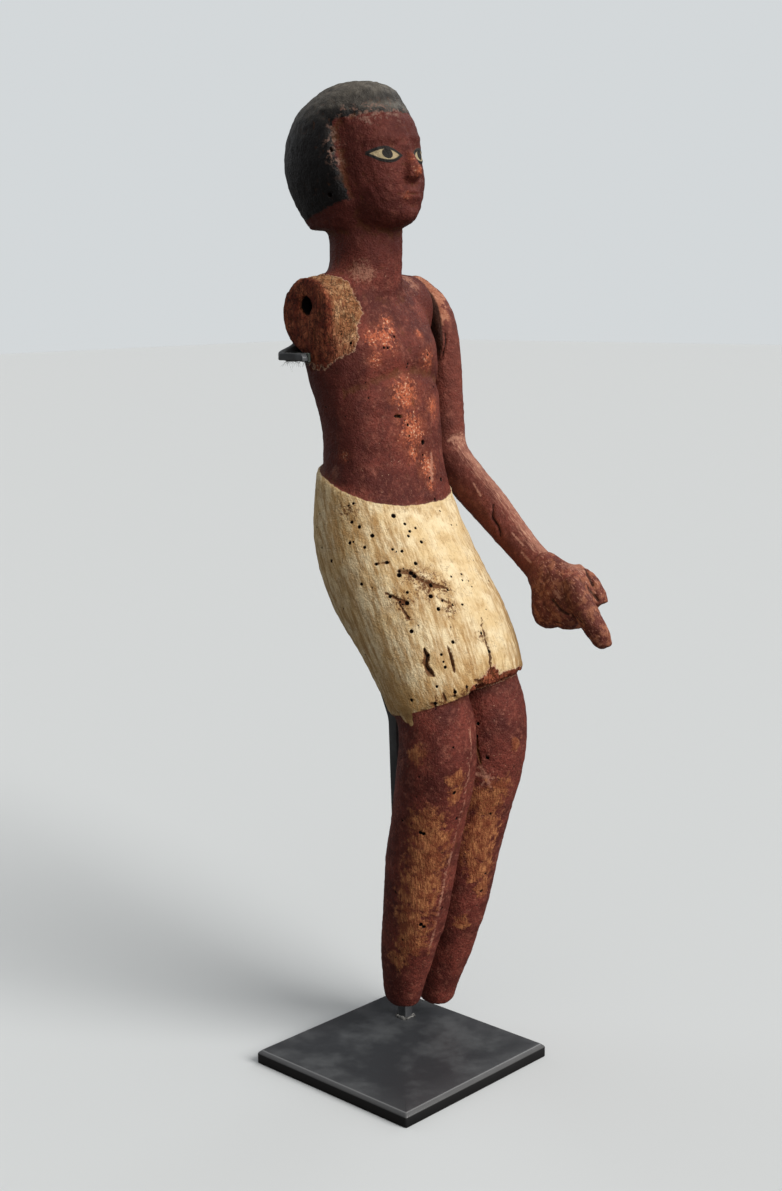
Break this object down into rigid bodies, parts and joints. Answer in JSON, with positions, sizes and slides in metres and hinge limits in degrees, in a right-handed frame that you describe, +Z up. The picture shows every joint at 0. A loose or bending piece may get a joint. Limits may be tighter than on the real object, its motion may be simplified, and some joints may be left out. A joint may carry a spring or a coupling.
{
  "type": "carved wooden rower figure on a steel stand",
  "caption": "Painted wooden figure of a rower in a kilt, one arm and both feet lost, held upright by a small square steel stand with a claw round the chest.",
  "frame": {"origin": "middle of the square plate's underside", "axes": "+Z up, -Y the way the figure faces, +X the figure's left; the plate's edges lie along X and Y"},
  "size_m": [0.1009, 0.1185, 0.3505],
  "materials": {
    "figure_paint": "matt worn red-brown paint on old wood, with a cream kilt and a black wig",
    "arm_paint": "matt worn red-brown paint on old wood",
    "plate_steel": "satin black, its chamfer rubbed bright",
    "bar_steel": "satin black",
    "claw_steel": "satin black",
    "felt": "dark green felt"
  },
  "bodies": {
    "root": {"figure_body": "figure_paint", "left_arm": "arm_paint", "base_plate": "plate_steel", "upright_bar": "bar_steel", "chest_clasp": "claw_steel", "felt_lining": "felt"}
  },
  "joints": []
}
